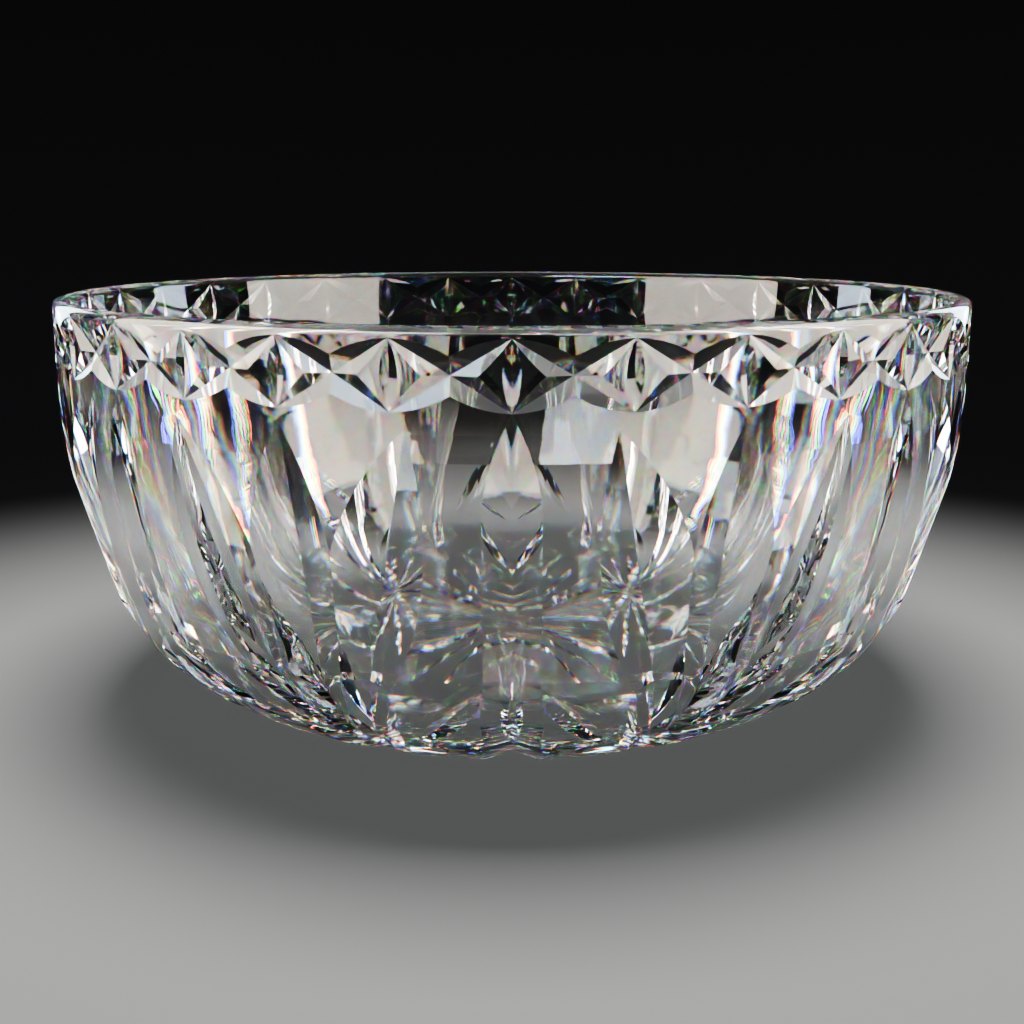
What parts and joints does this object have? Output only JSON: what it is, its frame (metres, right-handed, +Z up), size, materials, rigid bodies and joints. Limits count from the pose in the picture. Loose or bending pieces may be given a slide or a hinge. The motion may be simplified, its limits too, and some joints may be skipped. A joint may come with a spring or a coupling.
{
  "type": "punch bowl",
  "caption": "Round deep cut-crystal punch bowl with a band of diamonds under the lip, long V-cut flutes down the wall and a star-cut foot.",
  "frame": {"origin": "middle of the flat foot ring, on the surface that the bowl stands on", "axes": "+Z up along the bowl's turning axis; +X out through the middle of one of the eight tall narrow flutes"},
  "size_m": [0.305, 0.305, 0.138],
  "materials": {
    "crystal": "clear colourless lead crystal, cut facets polished bright"
  },
  "bodies": {
    "root": {"bowl": "crystal"}
  },
  "joints": []
}
